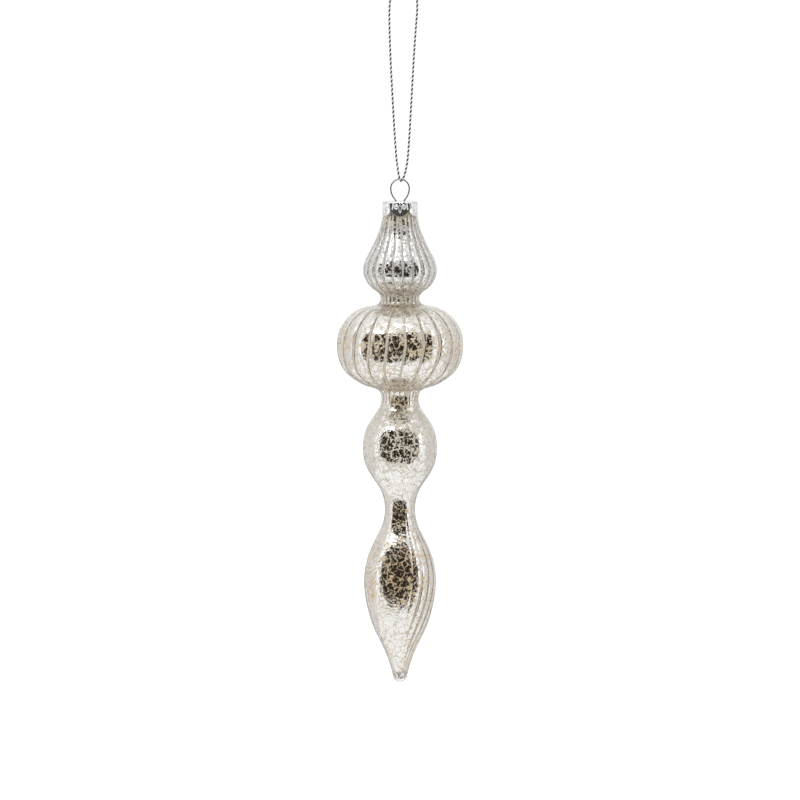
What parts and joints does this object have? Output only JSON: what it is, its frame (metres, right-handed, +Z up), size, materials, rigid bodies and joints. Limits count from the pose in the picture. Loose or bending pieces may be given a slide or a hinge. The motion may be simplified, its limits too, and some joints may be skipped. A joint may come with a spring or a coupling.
{
  "type": "hanging glass ornament",
  "caption": "Blown glass icicle finial, silvered inside, that hangs by a crown cap, a spring wire ring and a twisted cord loop.",
  "frame": {"origin": "where the cord loop hangs on its hook, at the top of the loop's inside and on the ornament's axis", "axes": "+Z up along the ornament's axis, +X to the right in the plane of the hanger's ring, -Y towards the viewer"},
  "size_m": [0.0574, 0.0576, 0.328],
  "materials": {
    "metallic_cord": "twisted two-ply metallic cord",
    "spring_wire": "bright drawn wire",
    "cap_metal": "bright stamped sheet",
    "clear_glass": "clear, polished",
    "silvering": "antiqued silver, crackled"
  },
  "bodies": {
    "cord": {"hanging_cord": "metallic_cord", "cord_knot": "metallic_cord"},
    "hanger": {"hanger_wire": "spring_wire"},
    "cap": {"cap": "cap_metal"},
    "glass": {"glass_body": "clear_glass", "silver_lining": "silvering"}
  },
  "joints": [
    {"name": "ring_swing", "type": "hinge", "parent": "cord", "child": "hanger", "pos_m": [0, 0, -0.08835], "axis": [1, 0, 0], "range_deg": [-60, 60]},
    {"name": "cap_tilt", "type": "hinge", "parent": "hanger", "child": "cap", "pos_m": [0, 0, -0.0984], "axis": [1, 0, 0], "range_deg": [-8, 8]},
    {"name": "glass_pull", "type": "slide", "parent": "cap", "child": "glass", "axis": [0, 0, -1], "range_m": [0, 0.03]}
  ]
}
